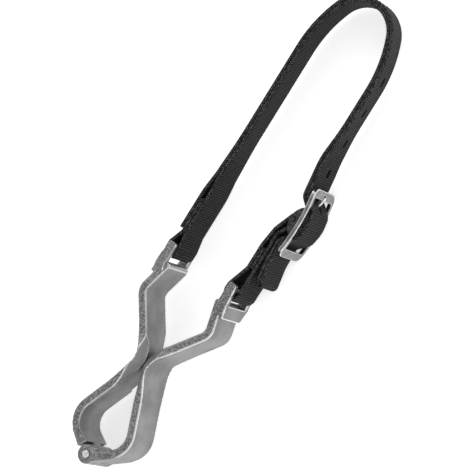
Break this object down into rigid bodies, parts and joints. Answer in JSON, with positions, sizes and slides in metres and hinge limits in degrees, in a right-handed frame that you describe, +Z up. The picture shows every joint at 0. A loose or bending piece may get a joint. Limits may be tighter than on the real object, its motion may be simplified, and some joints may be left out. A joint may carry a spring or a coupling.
{
  "type": "strap wrench",
  "caption": "Two hinged cast arms with a pinched waist, joined at their tips by a double-ply webbing strap that a buckle shortens.",
  "frame": {"origin": "under the middle of the whole object's box, on the plane that it lies on", "axes": "+Y from the hinge of the arms to the far end of the strap, +X towards the arm with the buckle, +Z up along the hinge pin"},
  "size_m": [0.0748, 0.3424, 0.0362],
  "materials": {
    "cast_metal": "as cast, satin, with bright worn edges",
    "pin_steel": "bright, domed head",
    "buckle_steel": "nickel plated, softly polished",
    "webbing": "woven nylon with cross ribs",
    "thread": "bonded thread, slight sheen"
  },
  "bodies": {
    "left_arm": {"left_arm": "cast_metal", "hinge_pin": "pin_steel"},
    "right_arm": {"right_arm": "cast_metal"},
    "strap_left": {"strap_outer_ply_left": "webbing", "strap_inner_ply_left": "webbing", "strap_stitching_left": "thread"},
    "strap_right": {"strap_outer_ply_right": "webbing", "strap_inner_ply_right": "webbing", "strap_stitching_right": "thread", "buckle_frame": "buckle_steel", "buckle_centre_bar": "buckle_steel", "short_strap": "webbing", "short_strap_lap": "webbing", "short_strap_stitching": "thread"},
    "tongue": {"buckle_tongue": "buckle_steel"}
  },
  "joints": [
    {"name": "arm_hinge", "type": "hinge", "parent": "left_arm", "child": "right_arm", "pos_m": [-0.00695, -0.16491, 0.0169], "axis": [0, 0, -1], "range_deg": [0, 40]},
    {"name": "strap_pivot", "type": "hinge", "parent": "left_arm", "child": "strap_left", "pos_m": [-0.03217, -0.02839, 0.0169], "axis": [0, 0, -1], "range_deg": [0, 33]},
    {"name": "strap_bend", "type": "hinge", "parent": "strap_left", "child": "strap_right", "pos_m": [-0.0049, 0.17121, 0.0169], "axis": [0, 0, 1], "range_deg": [0, 26.8]},
    {"name": "tongue_pivot", "type": "hinge", "parent": "strap_right", "child": "tongue", "pos_m": [0.02807, 0.03011, 0.0169], "axis": [0, 0, -1], "range_deg": [0, 5]}
  ],
  "couplings": [
    {"joint": "strap_pivot", "follows": "arm_hinge", "ratio": 0.824},
    {"joint": "strap_bend", "follows": "arm_hinge", "ratio": 0.669}
  ]
}
